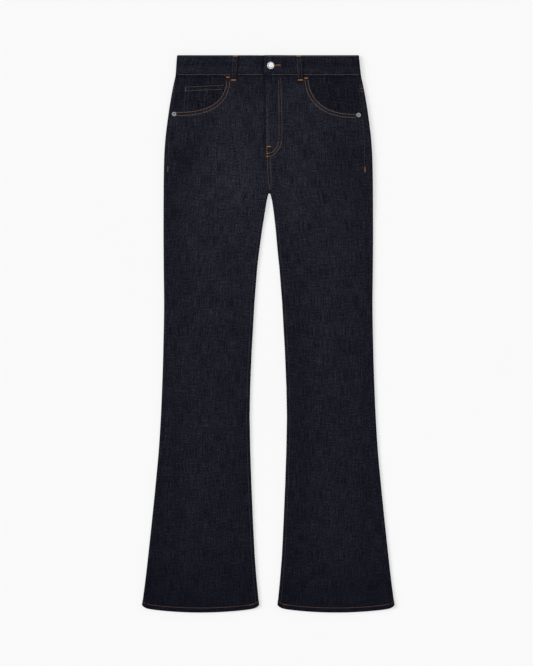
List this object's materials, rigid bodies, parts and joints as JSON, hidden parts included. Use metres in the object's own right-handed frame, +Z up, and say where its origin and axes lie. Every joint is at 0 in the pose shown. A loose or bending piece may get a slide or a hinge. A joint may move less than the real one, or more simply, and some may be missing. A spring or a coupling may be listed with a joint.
{
  "type": "slim flared jeans laid flat",
  "caption": "High-rise slim jeans with a flared hem, laid flat on their back, closed with a button at the waist.",
  "frame": {"origin": "on the surface the garment lies on, under the centre of its bounding box", "axes": "+Y from the hem towards the waist, +Z up out of the surface, +X towards the wearer's left side"},
  "size_m": [0.5078, 1.12, 0.012],
  "materials": {
    "denim": "dark indigo twill",
    "waistband_denim": "dark indigo twill, several layers",
    "facing_denim": "dark indigo twill, shaded",
    "polished_metal": "polished silver",
    "rivet_metal": "satin silver grey"
  },
  "bodies": {
    "root": {"front_right": "denim", "front_left": "denim", "back_right": "denim", "back_left": "denim", "yoke_right": "denim", "yoke_left": "denim", "waistband": "waistband_denim", "belt_loop_front_right": "waistband_denim", "belt_loop_front_left": "waistband_denim", "belt_loop_back_right": "waistband_denim", "belt_loop_back_centre": "waistband_denim", "belt_loop_back_left": "waistband_denim", "pocket_facing_right": "facing_denim", "pocket_facing_left": "facing_denim", "coin_pocket": "facing_denim", "back_pocket_right": "denim", "back_pocket_left": "denim", "button": "polished_metal", "rivet_right": "rivet_metal", "rivet_left": "rivet_metal"}
  },
  "joints": []
}
